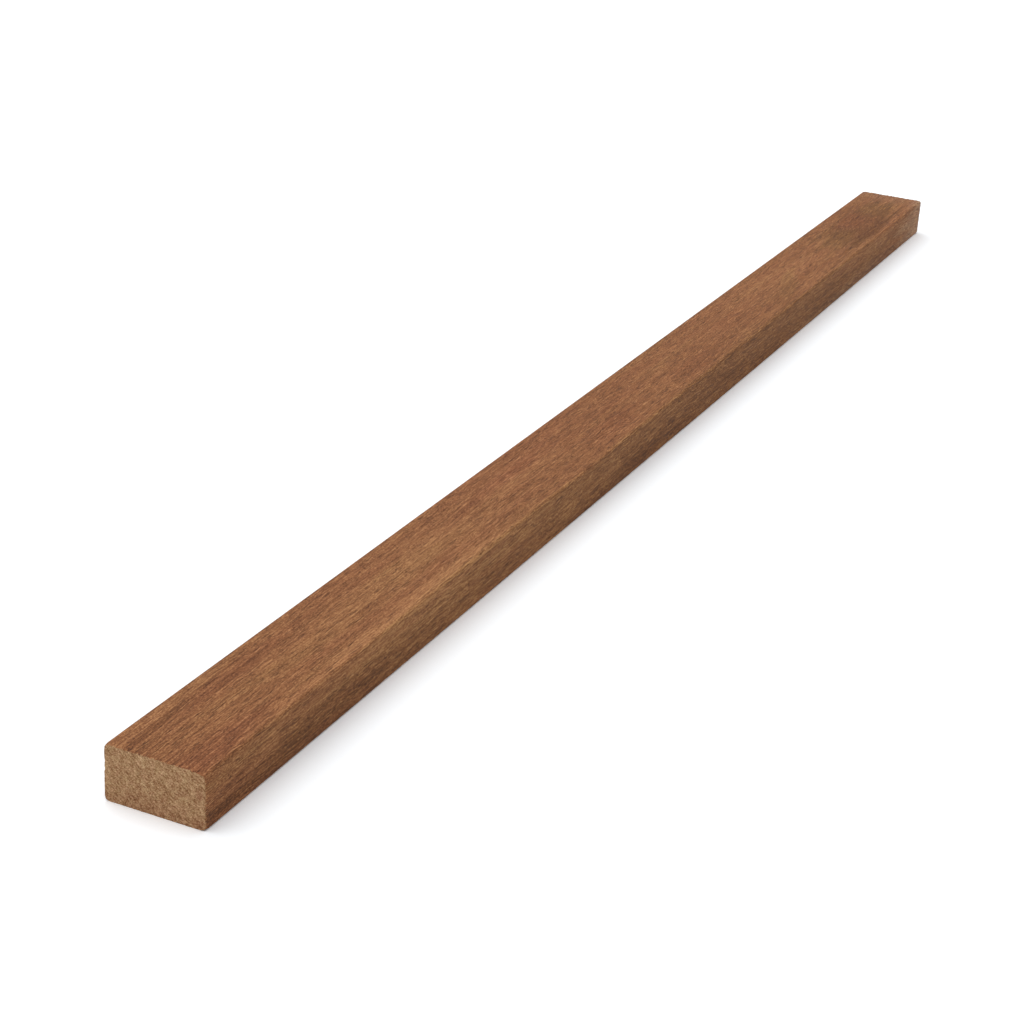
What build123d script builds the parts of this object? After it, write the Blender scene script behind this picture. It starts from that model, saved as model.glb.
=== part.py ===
"""Planed hardwood board: one straight length of solid timber, planed on all four sides.

The ends are cut square with a saw and left sharp. The four long edges are eased with
a light pass of the plane. Millimetres, X along the grain, Z up, and the origin at the
middle of the underside.
"""

import os

from build123d import *

# Driving dimensions
LENGTH = 1000.0  # from sawn end to sawn end
WIDTH = 46.0  # planed face, edge to edge
THICKNESS = 25.0  # underside to top face
ARRIS_RADIUS = 1.0  # easing of each long edge

# The board: its planed section, drawn square on the resting face and run along the grain
with BuildPart() as board:
    with BuildSketch(Plane.YZ) as planed_section:
        Rectangle(WIDTH, THICKNESS, align=(Align.CENTER, Align.MIN))
    extrude(amount=LENGTH / 2, both=True)
    long_edges = board.edges().filter_by(Axis.X)
    fillet(long_edges, radius=ARRIS_RADIUS)
board.part.label = "board"

os.makedirs("parts", exist_ok=True)
export_step(board.part, "parts/board.step")
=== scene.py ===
"""Looks of the planed hardwood board: its shaped mesh, its timber finishes and a plain studio.

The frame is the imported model's: X along the grain, Y across the planed face, Z up from the
underside. The near end is at the low end of X. Lengths are in metres, except where a comment
says that they are in millimetres.
"""

import math

import bmesh
import bpy
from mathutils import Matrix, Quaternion, Vector, noise


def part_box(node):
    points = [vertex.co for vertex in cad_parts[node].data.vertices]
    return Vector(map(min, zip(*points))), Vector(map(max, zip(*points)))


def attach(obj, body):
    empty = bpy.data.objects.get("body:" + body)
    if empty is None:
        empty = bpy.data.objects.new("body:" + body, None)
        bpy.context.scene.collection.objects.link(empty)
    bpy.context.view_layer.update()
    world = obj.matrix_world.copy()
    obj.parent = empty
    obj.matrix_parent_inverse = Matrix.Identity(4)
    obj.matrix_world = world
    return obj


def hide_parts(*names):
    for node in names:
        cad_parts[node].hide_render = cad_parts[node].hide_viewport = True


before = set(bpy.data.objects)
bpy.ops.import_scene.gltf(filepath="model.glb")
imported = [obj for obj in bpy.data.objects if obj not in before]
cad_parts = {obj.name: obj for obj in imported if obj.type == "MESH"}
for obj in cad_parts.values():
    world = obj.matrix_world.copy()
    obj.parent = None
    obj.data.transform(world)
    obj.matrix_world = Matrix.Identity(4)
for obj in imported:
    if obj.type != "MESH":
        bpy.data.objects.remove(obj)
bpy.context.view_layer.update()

MM = 0.001

# The board, measured from its solid
BOARD_LOW, BOARD_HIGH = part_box("board")
LENGTH, WIDTH, THICKNESS = BOARD_HIGH - BOARD_LOW
MIDDLE = (BOARD_LOW + BOARD_HIGH) / 2
ARRIS_RADIUS = 1.0 * MM
X, Y, Z = 0, 1, 2  # the axes by number

# Where its ends, edges and faces lie, in millimetres
NEAR, FRONT, UNDER = (round(side / MM, 3) for side in BOARD_LOW)
FAR, BACK, TOP = (round(side / MM, 3) for side in BOARD_HIGH)

# The mesh
ARRIS_STEPS = 4
GRID_PITCH = 2.5 * MM  # spacing of the mesh lines on the planed faces
END_CUTS = 8  # cuts that make the mesh finer on a sawn end and close behind it
FINE_REACH = 5.05 * MM  # how far behind a sawn end the mesh is finer: two squares and a little
SAME_PLACE = 1e-6  # points closer than this are one
IN_LINE = 0.999  # cosine past which two directions are one
PLANED, SAWN = 0, 1  # material slots

# Flat layout of the surface on a unit square: the share that the long faces take, the margin
# round the ends, and where the far end starts
LONG_SHARE = 0.79
LAYOUT_MARGIN = 0.01
FAR_END_FROM = 0.5

# Relief of the sawn ends, all of it cut into the solid's box
SAW_DEPTH = 0.30 * MM
SAW_PITCH = 1.6 * MM
SAW_LEAN = math.radians(62.0)
SAW_SWEEP = 9.0 * MM  # size of the patches in which the saw marks wander
SAW_WANDER = 0.8  # how far they wander, in pitches
TORN_SIZE = 1.1 * MM
FIBRE_SIZE = 0.45 * MM
KERF_PART, TORN_PART, FIBRE_PART = 0.18, 0.42, 0.40  # what each adds to the depth
TORN_SHIFT, FIBRE_SHIFT = 5.0, 11.0  # keep an end's patterns apart
NEAR_SEED, FAR_SEED = 2.0, 31.0

# Rims of the sawn ends, where the saw broke the fibres away
FRAY_DEPTH = 0.45 * MM  # on the top face, where the saw came in
RIM_WEAR = 0.15 * MM  # on the other three faces
FRAY_REACH = 2.2 * MM
FRAY_SIZE = 1.3 * MM
FRAY_LENGTH = 3 * FRAY_SIZE
FRAY_EVEN = 0.35  # the part of the loss that is the same all along a rim

# Worn spots, in millimetres: the place, how far the wear reaches and how the surface moved there
WORN_SPOTS = (
    # Front top corner of the near end
    ((NEAR, FRONT, TOP), 7.5, (0.3, 0.75, -0.75)),
    # Back top corner of the near end, and two nicks down its back edge
    ((NEAR, BACK, TOP), 2.5, (0.1, -0.2, -0.2)),
    ((NEAR, BACK, 17.5), 1.6, (0.2, -0.08, 0.0)),
    ((NEAR, BACK, 14.0), 1.3, (0.2, -0.06, 0.0)),
    # Bottom corners of the near end
    ((NEAR, FRONT, UNDER), 3.0, (0.2, 0.30, 0.30)),
    ((NEAR, BACK, UNDER), 2.4, (0.1, -0.2, 0.2)),
    # Top corners of the far end
    ((FAR, FRONT, TOP), 3.0, (-0.15, 0.20, -0.20)),
    ((FAR, BACK, TOP), 2.4, (-0.1, -0.15, -0.15)),
)

# Relief of the planed faces
PLANE_WAVE_DEPTH = 0.04 * MM
PLANE_WAVE_LENGTH = 38.0 * MM
PLANE_WAVE_WIDTH = 12.0 * MM

# Camera, solved from the board's outline in the photograph
CAMERA_PLACE = Vector((-1.1046, -0.4091, 0.4471))
CAMERA_AIM = Vector((-0.2111, -0.0140, 0.0250))
CAMERA_ROLL = math.radians(3.70)
CAMERA_LENS = 76.53  # millimetres
CAMERA_SENSOR = 36.0  # millimetres
CAMERA_NEAREST = 0.01

# Studio: the floor's colour for the light that it throws back and for the camera, then the lights
FLOOR_REACH = 12.0
FLOOR_BOUNCE = (0.80, 0.80, 0.80, 1.0)
FLOOR_SEEN = (1.23, 1.27, 1.305, 1.0)
DOME_LEVEL = 0.58
KEY_LEVEL = 0.42
KEY_SPREAD = math.radians(75.0)
KEY_FROM = Vector((0.0, 0.35, 1.0))


def shade(red, green, blue):
    """A colour as it looks on screen, 0 to 255, in the linear values that shaders take."""
    linear = []
    for level in (red, green, blue):
        part = level / 255.0
        linear.append(part / 12.92 if part <= 0.04045 else ((part + 0.055) / 1.055) ** 2.4)
    return (*linear, 1.0)


# Planed timber: its tones from the darkest grain lines to the palest, and how its hue shifts
# from rosy to straw, as parts of its colour
TONES = (
    (0.00, shade(87, 52, 34)),
    (0.50, shade(141, 93, 62)),
    (1.00, shade(189, 136, 95)),
)
BLUSHES = (
    (0.10, (1.01, 0.93, 0.93, 1.0)),
    (0.90, (0.99, 1.05, 0.95, 1.0)),
)
PORE_BROWN = shade(60, 35, 22)
PORE_STRENGTH = 0.75
PLANED_ROUGHNESS = 0.72
FIBRE_ROUGHNESS = 0.3  # how much the roughness changes from fibre to fibre
PLANED_GLOSS = 0.09
FIBRE_HEIGHT = 0.5  # how far the fibres stand up, for pores of depth 1
PLANED_BUMP = (0.12 * MM, 0.6)  # depth and strength
# What the umber stain and the pale far end, partly bleached timber and partly a painted pale veil of
# the white floor's light, do to the timber's colour, part by part
UMBER = (0.70, 0.69, 0.65, 1.0)
BLEACH_AND_SHEEN = (1.27, 1.59, 2.06, 1.0)

# Sawn ends: the tones of their torn fibre, and which way its long tears and its short threads
# lean, up from level
SAWN_TONES = (
    (0.00, shade(108, 74, 49)),
    (0.35, shade(153, 113, 81)),
    (0.55, shade(176, 137, 103)),
    (1.00, shade(223, 187, 148)),
)
SAWN_PORE = shade(88, 58, 40)
SAWN_PORE_STRENGTH = 0.6
SAWN_ROUGHNESS = 0.9
SAWN_GLOSS = 0.05
SAWN_BUMP = (0.25 * MM, 0.7)  # depth and strength
TEAR_LEAN = math.radians(142.0)
THREAD_LEAN = math.radians(35.0)

# Fringe of pale broken fibres round the ends: where it starts and where it is whole, past the
# end's own plane, and how unevenly it reaches in
TORN_FIBRE = shade(184, 142, 102)
FRINGE_FROM, FRINGE_WHOLE = -0.2 * MM, 0.6 * MM
FRINGE_SWING = 6.0 * MM

# Patterns in the timber: the size along, across and through the grain, in millimetres, and the
# shift that keeps each pattern apart from the others
DRIFTS = ((160, 50, 50), (3.1, 0.0, 7.7))
WAVERS = ((13, 4.0, 4.0), (0.4, 5.2, 2.2))
FLECKS = ((1.2, 0.45, 0.45), (1.5, 2.5, 3.5))
FIBRES = ((13, 0.55, 0.55), (5.0, 8.0, 0.0))
LINES = ((40, 0.65, 0.65), (2.0, 0.0, 9.1))
RIBBONS = ((120, 4.5, 4.5), (0.0, 4.2, 1.3))
CLOUDS = ((45, 9.0, 9.0), (6.0, 4.0, 2.0))
PALE_THREADS = ((20, 0.8, 0.8), (3.7, 1.2, 8.4))
BLUSH_PATCHES = ((90, 7.0, 7.0), (9.0, 3.0, 4.0))
LONG_PORES = ((30, 0.85, 0.85), (0.0, 0.0, 0.0))
SHORT_PORES = ((14, 0.75, 0.75), (7.3, 2.6, 4.9))
PORE_CROWDS = ((70, 6.0, 6.0), (1.0, 6.0, 2.0))
MOTTLES = ((30, 9.0, 9.0), (0.0, 1.0, 5.0))
TATTERS = ((2.5, 0.6, 0.6), (3.0, 9.0, 1.0))
END_WAVERS = ((50, 3.0, 3.0), (1.0, 4.0, 6.0))
END_CLOUDS = ((50, 4.0, 4.0), (2.0, 2.0, 2.0))
END_BLUSHES = ((50, 3.0, 3.0), (8.0, 5.0, 3.0))
END_TEARS = ((50, 2.4, 0.9), (4.0, 1.0, 2.0))
END_THREADS = ((50, 0.9, 0.42), (1.0, 7.0, 2.0))
# How far the grain drifts and wavers, and how far the torn fibre of the ends wavers
DRIFT_REACH = 5.0 * MM
WAVER_REACH = 1.8 * MM
END_WAVER_REACH = 1.6 * MM
# Where a cut vessel's colour starts and where it is full, in parts of its girth
VESSEL_RIM, VESSEL_HEART = 1.25, 0.6

# Marks in the timber, in millimetres on the board: the middle, the reach along, across and in
# depth, the lean in degrees, then how much paler and how much strawier the timber is there
MARKS = (
    # Straw strip along the back edge, and the dark streak and rosy band beside it
    ((-480, 18.5, TOP), (95, 5.5, 9), 1.0, 0.10, 0.15),
    ((-485, 14.0, TOP), (66, 2.6, 5), 1.4, -0.22, 0.00),
    ((-405, 13.5, TOP), (85, 5.0, 7), 1.0, -0.06, -0.25),
    # Rosy corner at the front of the near end
    ((-488, -14.0, TOP), (60, 11.0, 8), 0.0, -0.10, -0.30),
    # Straw heart of the near half, and the paler strip along the front arris up to a dark spot
    ((-320, 1.0, TOP), (175, 11.0, 9), 0.0, 0.06, 0.20),
    ((-290, 1.0, TOP), (80, 8.0, 9), 0.0, 0.06, 0.10),
    ((-310, -19.5, TOP), (150, 6.5, 7), 0.0, 0.17, 0.05),
    ((-220, -18.5, TOP), (34, 6.0, 7), 0.0, -0.12, 0.00),
    # Rosier middle of the length, with a paler streak at its start and darker spots at its front
    ((-150, 11.0, TOP), (190, 14.0, 9), 0.0, -0.04, -0.25),
    ((-165, 4.0, TOP), (75, 6.5, 9), 0.0, 0.08, 0.00),
    ((-65, -10.0, TOP), (60, 7.0, 9), 0.0, -0.10, -0.20),
    ((75, -11.0, TOP), (95, 9.0, 9), 0.0, -0.10, 0.00),
    # Drab patch with a drab streak out of it, and the paler timber round them
    ((210, -13.5, TOP), (40, 9.0, 9), 4.0, -0.08, 0.20),
    ((235, -6.0, TOP), (45, 7.0, 9), 15.0, 0.00, 0.55),
    ((215, 9.0, TOP), (70, 9.0, 9), 0.0, 0.07, 0.00),
    ((272, 1.0, TOP), (60, 11.0, 9), 0.0, 0.10, -0.12),
    ((252, -18.5, TOP), (40, 6.0, 7), 0.0, 0.09, 0.00),
    # In the umber stain: its darkest part, olive at both its ends, and its rosy heart
    ((400, -12.5, TOP), (95, 9.0, 9), 0.0, -0.15, 0.00),
    ((358, -2.0, TOP), (34, 20.0, 9), 0.0, 0.00, 0.50),
    ((412, 4.0, TOP), (34, 13.0, 9), 0.0, 0.00, -0.50),
    ((455, -3.0, TOP), (34, 20.0, 9), 0.0, 0.00, 0.50),
    # The front face: strawier all along, a painted warm tint of the light on this shaded side; paler
    # at the top of the near half, then stretches darker mostly towards the foot from the near end on,
    # and a paler top by the far end
    # Painted warm light: the straw tint of the whole front face
    ((0, FRONT, 12), (620, 3.5, 34), 0.0, 0.00, 0.45),
    ((-340, FRONT, 20), (250, 9.0, 10), 0.0, 0.11, 0.10),
    ((-372, FRONT, 16), (45, 6.0, 9), 0.0, -0.07, 0.00),
    ((-430, FRONT, 3), (130, 9.0, 12), 0.0, -0.19, 0.05),
    ((-260, FRONT, 2), (130, 9.0, 9), 0.0, -0.03, 0.05),
    ((-70, FRONT, 4), (100, 9.0, 13), 0.0, -0.20, 0.10),
    ((85, FRONT, 15), (50, 6.0, 8), 0.0, -0.08, 0.00),
    ((100, FRONT, 10), (230, 9.0, 20), 0.0, -0.11, 0.10),
    ((290, FRONT, 7), (75, 9.0, 13), 0.0, -0.12, 0.10),
    ((400, FRONT, 3), (75, 9.0, 9), 0.0, -0.19, 0.00),
    ((390, FRONT, 20), (60, 6.0, 7), 0.0, 0.09, 0.00),
)
# Where a mark has faded out and where it is whole, in reaches from its middle
MARK_BORDER, MARK_HEART = 1.05, 0.25

# The front face, by the same measures, and how much more its grain lines swing than elsewhere
FRONT_FACE = ((0, FRONT, 12), (700, 3.0, 40), 0.0)
FRONT_CONTRAST = 0.18
# The umber stain towards the far end, by the same measures, where in its spot it starts and is
# whole, and how strong and how mottled it is
UMBER_STAIN = ((404, -3.0, TOP), (106, 25.0, 12), 0.0)
STAIN_FROM, STAIN_WHOLE = 0.15, 0.65
STAIN_LEVEL, STAIN_MOTTLE = 0.8, 0.4
# Pale greyish timber, partly bleached and partly a painted pale veil of the white floor's light, by
# the same measures and with its strength: the far end's front and top, and the foot of the front face
# leading up to it
BLEACHED_AND_SHEEN = (
    ((FAR + 5, FRONT, 10), (75, 7.0, 26), 0.0, 1.0),
    ((FAR + 8, 0.0, TOP), (45, 40.0, 9), 0.0, 0.45),
    ((370, FRONT, UNDER), (210, 7.0, 11), 0.0, 0.60),
)
# Marks on the near end's sawn face: paler top, darker and rosier foot, rosy spot and orange corner
SAWN_MARKS = (
    ((NEAR, 3.0, 23), (20, 26.0, 11), 0.0, 0.03, 0.00),
    ((NEAR, 0.0, 1), (20, 28.0, 9), 0.0, -0.05, -0.25),
    ((NEAR, -20.5, 15), (20, 2.5, 3.5), 0.0, -0.05, -0.40),
    ((NEAR, -19.5, 2), (20, 5.0, 2.5), 0.0, -0.10, -0.50),
)

# Sockets of the Mix node that hold its colours
MIX_BASE, MIX_TINT, MIX_RESULT = 6, 7, 2


# Shaping the board


def faces_towards(bm, direction):
    """The faces that look straight in one direction."""
    return [face for face in bm.faces if face.normal.dot(direction) > IN_LINE]


def edges_along(bm, axis):
    """The edges that run along one axis."""
    runs = [(edge, edge.verts[0].co - edge.verts[1].co) for edge in bm.edges]
    return [edge for edge, run in runs if abs(run.normalized()[axis]) > IN_LINE]


def squared_stock():
    """A square-edged length of stock, the size of the solid."""
    bm = bmesh.new()
    bmesh.ops.create_cube(bm, size=1.0)
    bmesh.ops.scale(bm, vec=BOARD_HIGH - BOARD_LOW, verts=bm.verts)
    bmesh.ops.translate(bm, vec=MIDDLE, verts=bm.verts)
    return bm


def ease_arrises(bm):
    """Rounds the four long edges."""
    bmesh.ops.bevel(
        bm,
        geom=edges_along(bm, X),
        offset=ARRIS_RADIUS,
        offset_type="OFFSET",
        segments=ARRIS_STEPS,
        profile=0.5,
        affect="EDGES",
        material=-1,
    )


def cut_across(bm, place, direction):
    """One mesh line round the whole board, where a plane meets it."""
    bmesh.ops.bisect_plane(
        bm,
        geom=[*bm.verts, *bm.edges, *bm.faces],
        plane_co=place,
        plane_no=direction,
        dist=SAME_PLACE,
    )


def evenly_between(low, high, pitch):
    """Places from low to high, both included, about one pitch apart."""
    steps = max(1, round((high - low) / pitch))
    return [low + (high - low) * i / steps for i in range(steps + 1)]


def rule_mesh_lines(bm):
    """Divides the faces into even squares."""
    for y in evenly_between(BOARD_LOW.y + ARRIS_RADIUS, BOARD_HIGH.y - ARRIS_RADIUS, GRID_PITCH):
        cut_across(bm, (0, y, 0), (0, 1, 0))
    for z in evenly_between(BOARD_LOW.z + ARRIS_RADIUS, BOARD_HIGH.z - ARRIS_RADIUS, GRID_PITCH):
        cut_across(bm, (0, 0, z), (0, 0, 1))
    cuts = round(LENGTH / GRID_PITCH) - 1
    bmesh.ops.subdivide_edges(bm, edges=edges_along(bm, X), cuts=cuts, use_grid_fill=True)


def refine_ends(bm):
    """Makes the mesh of the sawn ends, and close behind them, fine enough to carry their relief."""
    fine_from = LENGTH / 2 - FINE_REACH
    squares = [e for e in bm.edges if all(abs(v.co.x) > fine_from for v in e.verts)]
    # The short edges round an arris are fine enough already
    wide = [e for e in squares if e.calc_length() > ARRIS_RADIUS / 2]
    bmesh.ops.subdivide_edges(bm, edges=wide, cuts=END_CUTS, use_grid_fill=True)


def lay_out_flat(bm):
    """Lays the surface out on one square: the long faces side by side, the ends enlarged above."""
    layout = bm.loops.layers.uv.new("OFBake")
    long_scale = 1.0 / LENGTH
    girth_scale = LONG_SHARE / (2 * (WIDTH + THICKNESS))
    end_scale = (1.0 - LONG_SHARE - 2 * LAYOUT_MARGIN) / THICKNESS
    end_foot = LONG_SHARE + LAYOUT_MARGIN
    bm.normal_update()
    for face in bm.faces:
        for loop in face.loops:
            along, across, up = loop.vert.co - BOARD_LOW
            if face.material_index == SAWN:
                if face.normal.x < 0.0:
                    sideways = LAYOUT_MARGIN + (WIDTH - across) * end_scale
                else:
                    sideways = FAR_END_FROM + across * end_scale
                loop[layout].uv = (sideways, end_foot + up * end_scale)
                continue
            # Round the girth from the top of the back edge: back, underside, front and top
            if abs(face.normal.z) > abs(face.normal.y):
                above = face.normal.z > 0.0
                around = WIDTH + 2 * THICKNESS + across if above else WIDTH + THICKNESS - across
            else:
                in_front = face.normal.y < 0.0
                around = WIDTH + THICKNESS + up if in_front else THICKNESS - up
            loop[layout].uv = (along * long_scale, around * girth_scale)


def patchiness(place):
    """Soft noise at a place, from 0 to 1."""
    return 0.5 + 0.5 * noise.noise(place)


def saw_relief(y, z, seed):
    """How deep the saw cut at one place of an end, from 0 to 1."""
    across = y * math.cos(SAW_LEAN) + z * math.sin(SAW_LEAN)
    sweep = noise.noise((y / SAW_SWEEP, z / SAW_SWEEP, seed))
    kerf = 0.5 + 0.5 * math.sin(math.tau * (across / SAW_PITCH + SAW_WANDER * sweep))
    torn = patchiness((y / TORN_SIZE, z / TORN_SIZE, seed + TORN_SHIFT))
    fibre = patchiness((y / FIBRE_SIZE, z / FIBRE_SIZE, seed + FIBRE_SHIFT))
    return min(1.0, max(0.0, KERF_PART * kerf + TORN_PART * torn + FIBRE_PART * fibre))


def roughen_ends(bm):
    """Sinks each vertex of the sawn ends by the relief that the saw left."""
    for end, inward, seed in ((BOARD_LOW.x, 1.0, NEAR_SEED), (BOARD_HIGH.x, -1.0, FAR_SEED)):
        for vert in bm.verts:
            if abs(vert.co.x - end) < SAME_PLACE:
                vert.co.x += inward * SAW_DEPTH * saw_relief(vert.co.y, vert.co.z, seed)


def fray_rims(bm):
    """Draws the rims of the sawn ends in by uneven amounts, with the surface close round them."""
    for vert in bm.verts:
        behind = 1.0 - (LENGTH / 2 - abs(vert.co.x)) / FRAY_REACH
        if behind <= 0.0:
            continue
        torn = Vector((vert.co.x / FRAY_LENGTH, vert.co.y / FRAY_SIZE, vert.co.z / FRAY_SIZE))
        loss = behind**2 * min(1.0, max(0.0, FRAY_EVEN + noise.noise(torn)))
        for axis in (Y, Z):
            off = vert.co[axis] - MIDDLE[axis]
            inside = (BOARD_HIGH[axis] - BOARD_LOW[axis]) / 2 - abs(off)
            fade = max(0.0, 1.0 - inside / FRAY_REACH)
            depth = FRAY_DEPTH if axis == Z and off > 0.0 else RIM_WEAR
            vert.co[axis] -= math.copysign(depth * loss * fade**2, off)


def wear_spots(bm):
    """Pushes the surface in round each worn spot, most at its middle."""
    for place, reach, push in WORN_SPOTS:
        middle = Vector(place) * MM
        for vert in bm.verts:
            share = (vert.co - middle).length / (reach * MM)
            if share < 1.0:
                vert.co += Vector(push) * MM * (1.0 - share**2) ** 2


def ripple_planed_faces(bm):
    """Lets the planed faces fall a few hundredths inside the true plane, as hand feed leaves them."""
    wave = (PLANE_WAVE_LENGTH, PLANE_WAVE_WIDTH, PLANE_WAVE_WIDTH)
    for vert in bm.verts:
        fall = PLANE_WAVE_DEPTH * patchiness([way / side for way, side in zip(vert.co, wave)])
        for axis in (Y, Z):
            off = vert.co[axis] - MIDDLE[axis]
            half = (BOARD_HIGH[axis] - BOARD_LOW[axis]) / 2
            if abs(off) > half - ARRIS_RADIUS / 2:
                vert.co[axis] -= math.copysign(fall, off)


def planed_board():
    """The board as one closed mesh, with planed faces and sawn ends in slots of their own."""
    bm = squared_stock()
    ease_arrises(bm)
    rule_mesh_lines(bm)
    refine_ends(bm)
    for direction in (Vector((-1, 0, 0)), Vector((1, 0, 0))):
        for face in faces_towards(bm, direction):
            face.material_index = SAWN
    lay_out_flat(bm)
    ripple_planed_faces(bm)
    roughen_ends(bm)
    fray_rims(bm)
    wear_spots(bm)
    bmesh.ops.recalc_face_normals(bm, faces=bm.faces)
    for face in bm.faces:
        face.smooth = face.material_index == PLANED
    mesh = bpy.data.meshes.new("planed_board")
    bm.to_mesh(mesh)
    bm.free()
    board = bpy.data.objects.new("planed_board", mesh)
    bpy.context.collection.objects.link(board)
    return board


# Node helpers


def give(tree, node, socket, source):
    """Feeds a socket from another node's output, or sets it to a plain value."""
    if isinstance(source, bpy.types.NodeSocket):
        tree.links.new(source, node.inputs[socket])
    else:
        node.inputs[socket].default_value = source


def maths(tree, operation, *sources, clamp=False):
    """One sum on plain values."""
    node = tree.nodes.new("ShaderNodeMath")
    node.operation = operation
    node.use_clamp = clamp
    for socket, source in enumerate(sources):
        give(tree, node, socket, source)
    return node.outputs["Value"]


def vector_maths(tree, operation, *sources, result="Vector"):
    """One sum on places and directions."""
    node = tree.nodes.new("ShaderNodeVectorMath")
    node.operation = operation
    for socket, source in enumerate(sources):
        give(tree, node, socket, source)
    return node.outputs[result]


def scaled_place(tree, place, pattern):
    """A place counted in a pattern's sizes instead of metres, and shifted."""
    size, shift = pattern
    per_metre = tuple(1.0 / (side * MM) for side in size)
    return vector_maths(tree, "MULTIPLY_ADD", place, per_metre, shift)


def soft_noise(tree, place, pattern, detail, distortion=0.0):
    """A noise node for one pattern."""
    node = tree.nodes.new("ShaderNodeTexNoise")
    give(tree, node, "Vector", scaled_place(tree, place, pattern))
    give(tree, node, "Scale", 1.0)
    give(tree, node, "Detail", detail)
    give(tree, node, "Distortion", distortion)
    return node


def mottling(tree, place, pattern, detail=2.0, distortion=0.0):
    """Soft random patches of a pattern's size, from 0 to 1."""
    return soft_noise(tree, place, pattern, detail, distortion).outputs["Fac"]


def step(tree, value, low, high):
    """A smooth step from 0 at low to 1 at high; low may be the larger."""
    node = tree.nodes.new("ShaderNodeMapRange")
    node.interpolation_type = "SMOOTHSTEP"
    falling = low > high
    give(tree, node, "Value", value)
    give(tree, node, "From Min", min(low, high))
    give(tree, node, "From Max", max(low, high))
    give(tree, node, "To Min", 1.0 if falling else 0.0)
    give(tree, node, "To Max", 0.0 if falling else 1.0)
    return node.outputs["Result"]


def tinted(tree, factor, base, tint, blend="MIX"):
    """One colour laid over another by a mask."""
    node = tree.nodes.new("ShaderNodeMix")
    node.data_type = "RGBA"
    node.blend_type = blend
    give(tree, node, 0, factor)
    give(tree, node, MIX_BASE, base)
    give(tree, node, MIX_TINT, tint)
    return node.outputs[MIX_RESULT]


def weighed(tree, start, *parts):
    """A start value plus each part's swing about its middle, times its weight."""
    total = start
    for value, weight in parts:
        swing = maths(tree, "SUBTRACT", value, 0.5)
        total = maths(tree, "MULTIPLY_ADD", swing, weight, total)
    return total


def turned(tree, place, axis, angle):
    """A place turned about one axis."""
    node = tree.nodes.new("ShaderNodeVectorRotate")
    node.rotation_type = axis
    give(tree, node, "Vector", place)
    give(tree, node, "Angle", angle)
    return node.outputs["Vector"]


def swayed(tree, place, pattern, reach):
    """A place moved sideways by soft waves, so that lines along the grain wander."""
    waves = soft_noise(tree, place, pattern, detail=1.0)
    return vector_maths(tree, "MULTIPLY_ADD", waves.outputs["Color"], (0.0, reach, reach), place)


def vessel_lines(tree, place, pattern, girth):
    """Cut open vessels: slim tapered streaks along the grain, round dots on an end."""
    node = tree.nodes.new("ShaderNodeTexVoronoi")
    node.feature = "F1"
    give(tree, node, "Vector", scaled_place(tree, place, pattern))
    give(tree, node, "Scale", 1.0)
    return step(tree, node.outputs["Distance"], girth * VESSEL_RIM, girth * VESSEL_HEART)


def toned(tree, value, tones):
    """The colour of a tone from 0 to 1."""
    node = tree.nodes.new("ShaderNodeValToRGB")
    stops = node.color_ramp.elements
    while len(stops) < len(tones):
        stops.new(0.5)
    for stop, (where, colour) in zip(stops, tones):
        stop.position = where
        stop.color = colour
    give(tree, node, "Fac", value)
    return node.outputs["Color"]


def new_group(name, inputs, outputs):
    """An empty node group, with the names and kinds of what goes in and what comes out."""
    tree = bpy.data.node_groups.new(name, "ShaderNodeTree")
    for way, sockets in (("INPUT", inputs), ("OUTPUT", outputs)):
        for socket, kind in sockets.items():
            tree.interface.new_socket(socket, in_out=way, socket_type=f"NodeSocket{kind}")
    given = tree.nodes.new("NodeGroupInput").outputs
    out = tree.nodes.new("NodeGroupOutput")
    return tree, given, out


def placed_group(tree, name, **sources):
    """The outputs of a node group that is set in a material and fed there."""
    node = tree.nodes.new("ShaderNodeGroup")
    node.node_tree = bpy.data.node_groups[name]
    for socket, source in sources.items():
        give(tree, node, socket, source)
    return node.outputs


# Timber: what the planed faces and the sawn ends share


def grain_group():
    """The timber's own figure, the same all through the board."""
    figure = ("Tone", "Blush", "Ribbon", "Fibre", "Pores", "Mottle")
    outputs = dict.fromkeys(figure, "Float")
    tree, given, out = new_group("hardwood_grain", {"Place": "Vector"}, outputs)
    drift = swayed(tree, given["Place"], DRIFTS, DRIFT_REACH)
    place = swayed(tree, drift, WAVERS, WAVER_REACH)

    fleck = mottling(tree, place, FLECKS, detail=0.0)
    fibre = mottling(tree, place, FIBRES, detail=0.0)
    line = mottling(tree, place, LINES, detail=0.0)
    ribbon = mottling(tree, drift, RIBBONS)
    cloud = mottling(tree, drift, CLOUDS)
    threads = vessel_lines(tree, place, PALE_THREADS, girth=0.20)
    tone = weighed(
        tree, 0.50, (fleck, 0.95), (fibre, 0.6), (line, 0.5), (ribbon, 0.18), (cloud, 0.13)
    )
    tone = maths(tree, "ADD", tone, maths(tree, "MULTIPLY", threads, 0.45))
    blush = mottling(tree, drift, BLUSH_PATCHES, detail=3.0)

    long_pores = vessel_lines(tree, place, LONG_PORES, girth=0.20)
    short_pores = vessel_lines(tree, place, SHORT_PORES, girth=0.22)
    crowd = step(tree, mottling(tree, place, PORE_CROWDS), low=0.15, high=0.55)
    pores = maths(tree, "MULTIPLY", maths(tree, "MAXIMUM", long_pores, short_pores), crowd)
    mottle = mottling(tree, drift, MOTTLES, detail=3.0, distortion=0.6)
    mottle = step(tree, mottle, low=0.45, high=0.75)
    for name, value in zip(figure, (tone, blush, ribbon, fibre, pores, mottle)):
        give(tree, out, name, value)


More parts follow.
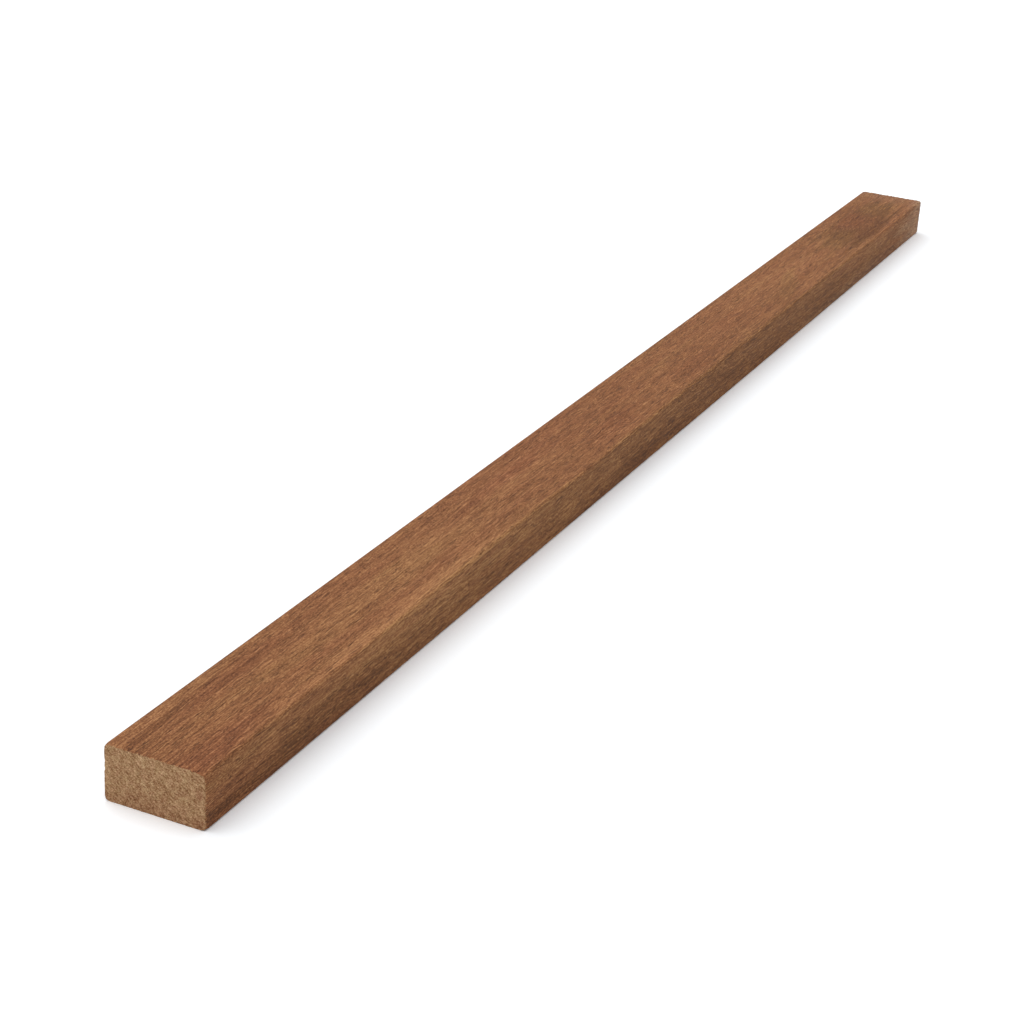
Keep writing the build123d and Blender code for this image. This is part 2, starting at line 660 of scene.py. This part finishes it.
def mark_group():
    """A mark in the timber: 1 in its middle, fading to 0 at its ragged border."""
    places = dict.fromkeys(("Place", "Middle", "Reach"), "Vector")
    inputs = {**places, "Lean": "Float", "Ribbon": "Float"}
    tree, given, out = new_group("timber_mark", inputs, {"Spot": "Float"})
    off = vector_maths(tree, "SUBTRACT", given["Place"], given["Middle"])
    leaning = turned(tree, off, "Z_AXIS", given["Lean"])
    share = vector_maths(tree, "DIVIDE", leaning, given["Reach"])
    distance = vector_maths(tree, "LENGTH", share, result="Value")
    ragged = weighed(tree, distance, (given["Ribbon"], 1.0))
    give(tree, out, "Spot", step(tree, ragged, MARK_BORDER, MARK_HEART))


def blush_group():
    """The shift of a timber colour's hue, from rosy to straw."""
    inputs = {"Colour": "Color", "Blush": "Float"}
    tree, given, out = new_group("timber_blush", inputs, {"Colour": "Color"})
    hue = toned(tree, given["Blush"], BLUSHES)
    give(tree, out, "Colour", tinted(tree, 1.0, given["Colour"], hue, blend="MULTIPLY"))


# Timber: its two finishes


def new_finish(name):
    """A material with its shader, the board's own coordinates and the timber's figure."""
    finish = bpy.data.materials.new(name)
    finish.use_nodes = True
    tree = finish.node_tree
    shader = tree.nodes["Principled BSDF"]
    place = tree.nodes.new("ShaderNodeTexCoord").outputs["Object"]
    figure = placed_group(tree, "hardwood_grain", Place=place)
    return finish, tree, shader, place, figure


def relief(tree, shader, height, depth, strength):
    """Puts a height pattern on the shader as bumps of a real depth."""
    bump = tree.nodes.new("ShaderNodeBump")
    give(tree, bump, "Height", height)
    give(tree, bump, "Distance", depth)
    give(tree, bump, "Strength", strength)
    tree.links.new(bump.outputs["Normal"], shader.inputs["Normal"])


def mark_spot(tree, place, figure, middle, reach, lean):
    """One mark in the timber, from its measures in millimetres and its lean in degrees."""
    return placed_group(
        tree,
        "timber_mark",
        Place=place,
        Middle=Vector(middle) * MM,
        Reach=Vector(reach) * MM,
        Lean=-math.radians(lean),
        Ribbon=figure["Ribbon"],
    )["Spot"]


def marked(tree, place, figure, marks, tone, blush):
    """The tone and the blush with a list of marks added to them."""
    for middle, reach, lean, paler, strawier in marks:
        spot = mark_spot(tree, place, figure, middle, reach, lean)
        tone = maths(tree, "ADD", tone, maths(tree, "MULTIPLY", spot, paler))
        blush = maths(tree, "ADD", blush, maths(tree, "MULTIPLY", spot, strawier))
    return tone, blush


def torn_fringe(tree, place):
    """1 on the pale broken fibres along the rims of the ends, 0 on sound timber."""
    parts = tree.nodes.new("ShaderNodeSeparateXYZ")
    give(tree, parts, "Vector", place)
    along = maths(tree, "ABSOLUTE", parts.outputs["X"])
    ragged = weighed(tree, along, (mottling(tree, place, TATTERS, detail=1.0), FRINGE_SWING))
    return step(tree, ragged, LENGTH / 2 + FRINGE_FROM, LENGTH / 2 + FRINGE_WHOLE)


def planed_finish():
    """Bare planed timber: ribboned red-brown with tan lines and dark open pores."""
    finish, tree, shader, place, figure = new_finish("planed_hardwood")
    front = mark_spot(tree, place, figure, *FRONT_FACE)
    swing = maths(tree, "MULTIPLY", maths(tree, "SUBTRACT", figure["Tone"], 0.5), front)
    tone = maths(tree, "ADD", figure["Tone"], maths(tree, "MULTIPLY", swing, FRONT_CONTRAST))
    tone, blush = marked(tree, place, figure, MARKS, tone, figure["Blush"])
    colour = toned(tree, tone, TONES)
    colour = placed_group(tree, "timber_blush", Colour=colour, Blush=blush)["Colour"]

    spot = mark_spot(tree, place, figure, *UMBER_STAIN)
    stain = step(tree, spot, STAIN_FROM, STAIN_WHOLE)
    level = weighed(tree, STAIN_LEVEL, (figure["Mottle"], STAIN_MOTTLE))
    colour = tinted(tree, maths(tree, "MULTIPLY", stain, level), colour, UMBER, blend="MULTIPLY")
    # The pale far end: partly bleached timber, partly a painted pale veil of the white floor's light
    for middle, reach, lean, strength in BLEACHED_AND_SHEEN:
        spot = mark_spot(tree, place, figure, middle, reach, lean)
        pale = maths(tree, "MULTIPLY", spot, strength)
        colour = tinted(tree, pale, colour, BLEACH_AND_SHEEN, blend="MULTIPLY")

    dark = maths(tree, "MULTIPLY", figure["Pores"], PORE_STRENGTH)
    colour = tinted(tree, dark, colour, PORE_BROWN)
    colour = tinted(tree, torn_fringe(tree, place), colour, TORN_FIBRE)
    tree.links.new(colour, shader.inputs["Base Color"])

    rough = weighed(tree, PLANED_ROUGHNESS, (figure["Fibre"], FIBRE_ROUGHNESS))
    tree.links.new(rough, shader.inputs["Roughness"])
    shader.inputs["Specular IOR Level"].default_value = PLANED_GLOSS
    raised = maths(tree, "MULTIPLY", figure["Fibre"], FIBRE_HEIGHT)
    relief(tree, shader, maths(tree, "SUBTRACT", raised, figure["Pores"]), *PLANED_BUMP)
    return finish


def sawn_finish():
    """Rough sawn end grain: pale torn fibre, dark pore mouths and dull all over."""
    finish, tree, shader, place, figure = new_finish("sawn_end_grain")
    bent = swayed(tree, place, END_WAVERS, END_WAVER_REACH)
    falling = turned(tree, bent, "X_AXIS", TEAR_LEAN)
    rising = turned(tree, bent, "X_AXIS", THREAD_LEAN)
    cloud = mottling(tree, place, END_CLOUDS)
    tear = mottling(tree, falling, END_TEARS)
    thread = mottling(tree, rising, END_THREADS, detail=1.0)
    tone = weighed(tree, 0.56, (cloud, 0.6), (tear, 1.1), (thread, 1.25))
    blush = mottling(tree, place, END_BLUSHES)
    tone, blush = marked(tree, place, figure, SAWN_MARKS, tone, blush)
    colour = toned(tree, tone, SAWN_TONES)
    colour = placed_group(tree, "timber_blush", Colour=colour, Blush=blush)["Colour"]
    dark = maths(tree, "MULTIPLY", figure["Pores"], SAWN_PORE_STRENGTH)
    colour = tinted(tree, dark, colour, SAWN_PORE)
    tree.links.new(colour, shader.inputs["Base Color"])
    shader.inputs["Roughness"].default_value = SAWN_ROUGHNESS
    shader.inputs["Specular IOR Level"].default_value = SAWN_GLOSS
    relief(tree, shader, maths(tree, "ADD", tear, thread), *SAWN_BUMP)
    return finish


# Studio


def seen_directly(tree):
    """1 for what the camera sees, straight or in a reflection or glass, and 0 for other light."""
    path = tree.nodes.new("ShaderNodeLightPath")
    seen = maths(tree, "ADD", path.outputs["Is Camera Ray"], path.outputs["Is Glossy Ray"])
    return maths(tree, "ADD", seen, path.outputs["Is Transmission Ray"], clamp=True)


def studio_floor():
    """A plain pale floor that shows white and keeps the board's shadow."""
    bm = bmesh.new()
    bmesh.ops.create_grid(bm, x_segments=1, y_segments=1, size=FLOOR_REACH)
    mesh = bpy.data.meshes.new("floor")
    bm.to_mesh(mesh)
    bm.free()
    floor = bpy.data.objects.new("floor", mesh)
    bpy.context.collection.objects.link(floor)
    finish = bpy.data.materials.new("pale_floor")
    finish.use_nodes = True
    tree = finish.node_tree
    tree.nodes.clear()
    paint = tree.nodes.new("ShaderNodeBsdfDiffuse")
    out = tree.nodes.new("ShaderNodeOutputMaterial")
    colour = tinted(tree, seen_directly(tree), FLOOR_BOUNCE, FLOOR_SEEN)
    tree.links.new(colour, paint.inputs["Color"])
    tree.links.new(paint.outputs["BSDF"], out.inputs["Surface"])
    mesh.materials.append(finish)


def studio_light():
    """An even dome of white light and one wide soft key from above and behind."""
    world = bpy.data.worlds.new("studio")
    bpy.context.scene.world = world
    world.use_nodes = True
    tree = world.node_tree
    back = tree.nodes["Background"]
    back.inputs["Color"].default_value = (1.0, 1.0, 1.0, 1.0)
    level = tree.nodes.new("ShaderNodeMapRange")
    give(tree, level, "Value", seen_directly(tree))
    give(tree, level, "To Min", DOME_LEVEL)
    give(tree, level, "To Max", 1.0)
    tree.links.new(level.outputs["Result"], back.inputs["Strength"])

    lamp = bpy.data.lights.new("key", "SUN")
    lamp.energy = KEY_LEVEL * math.pi
    lamp.angle = KEY_SPREAD
    key = bpy.data.objects.new("key", lamp)
    key.rotation_mode = "QUATERNION"
    key.rotation_quaternion = KEY_FROM.to_track_quat("Z", "Y")
    bpy.context.collection.objects.link(key)


def studio_camera():
    """The camera where the photograph was taken from."""
    lens = bpy.data.cameras.new("camera")
    lens.sensor_width = CAMERA_SENSOR
    lens.lens = CAMERA_LENS
    lens.clip_start = CAMERA_NEAREST
    camera = bpy.data.objects.new("camera", lens)
    camera.location = CAMERA_PLACE
    level_turn = (CAMERA_AIM - CAMERA_PLACE).to_track_quat("-Z", "Y")
    camera.rotation_mode = "QUATERNION"
    camera.rotation_quaternion = level_turn @ Quaternion((0, 0, 1), CAMERA_ROLL)
    bpy.context.collection.objects.link(camera)
    bpy.context.scene.camera = camera


grain_group()
mark_group()
blush_group()
board = planed_board()
board.data.materials.append(planed_finish())
board.data.materials.append(sawn_finish())
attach(board, "root")
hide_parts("board")

studio_floor()
studio_light()
studio_camera()
bpy.context.scene.view_settings.view_transform = "Standard"
